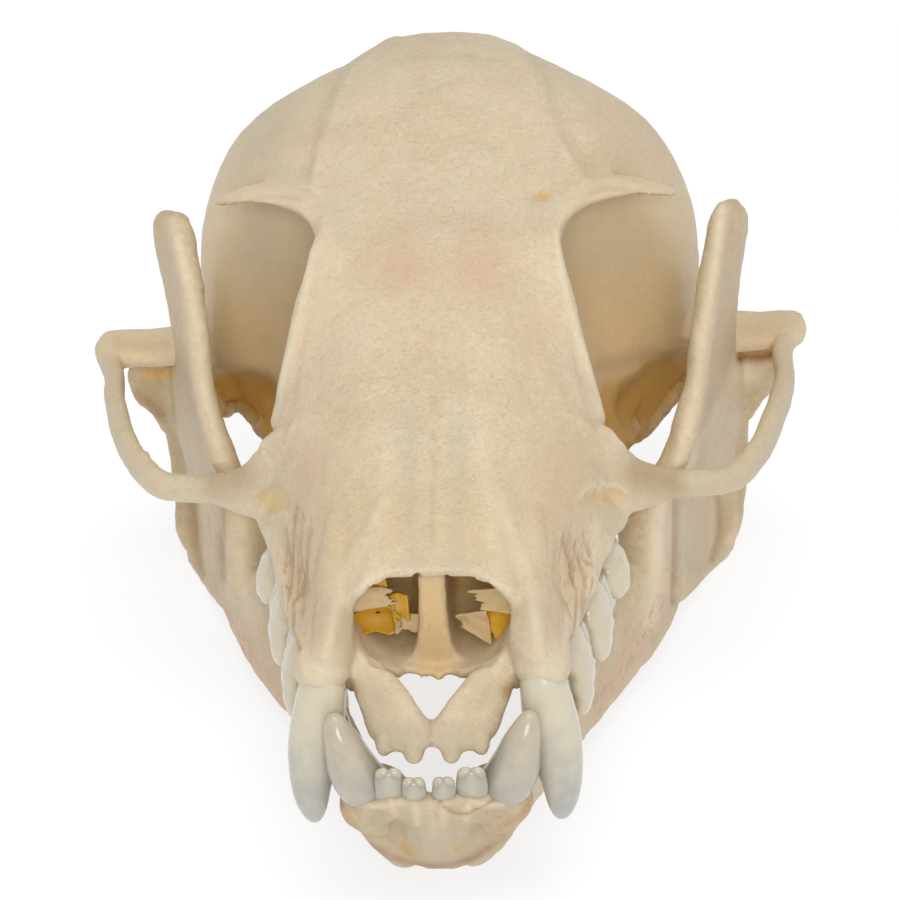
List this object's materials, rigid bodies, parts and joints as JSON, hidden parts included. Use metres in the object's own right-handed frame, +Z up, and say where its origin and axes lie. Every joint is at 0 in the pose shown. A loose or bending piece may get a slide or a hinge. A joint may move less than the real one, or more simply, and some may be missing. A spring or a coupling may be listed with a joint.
{
  "type": "fruit bat skull",
  "caption": "Life-size skull of a small short-nosed fruit bat with closed lower jaw, tall jaw tips, thin cheek arches and strong canines, lying on its jaw.",
  "frame": {"origin": "on the surface that the skull lies on, under the middle of its box", "axes": "+Z up, -Y towards the front teeth, +Y towards the back of the head, X across the skull"},
  "size_m": [0.021, 0.0316, 0.0154],
  "materials": {
    "cranium_bone": "dry cream bone, satin, with faint veining",
    "premaxilla_bone": "pale granular bone, satin",
    "jaw_bone": "tan bone with brown stains, satin",
    "enamel": "glossy pale grey enamel"
  },
  "bodies": {
    "root": {"braincase": "cranium_bone", "face": "cranium_bone", "zygomatic_arch_left": "cranium_bone", "zygomatic_arch_right": "cranium_bone", "premaxilla_left": "premaxilla_bone", "premaxilla_right": "premaxilla_bone", "mandible_left": "jaw_bone", "mandible_right": "jaw_bone", "upper_canine_left": "enamel", "upper_canine_right": "enamel", "lower_canine_left": "enamel", "lower_canine_right": "enamel"}
  },
  "joints": []
}
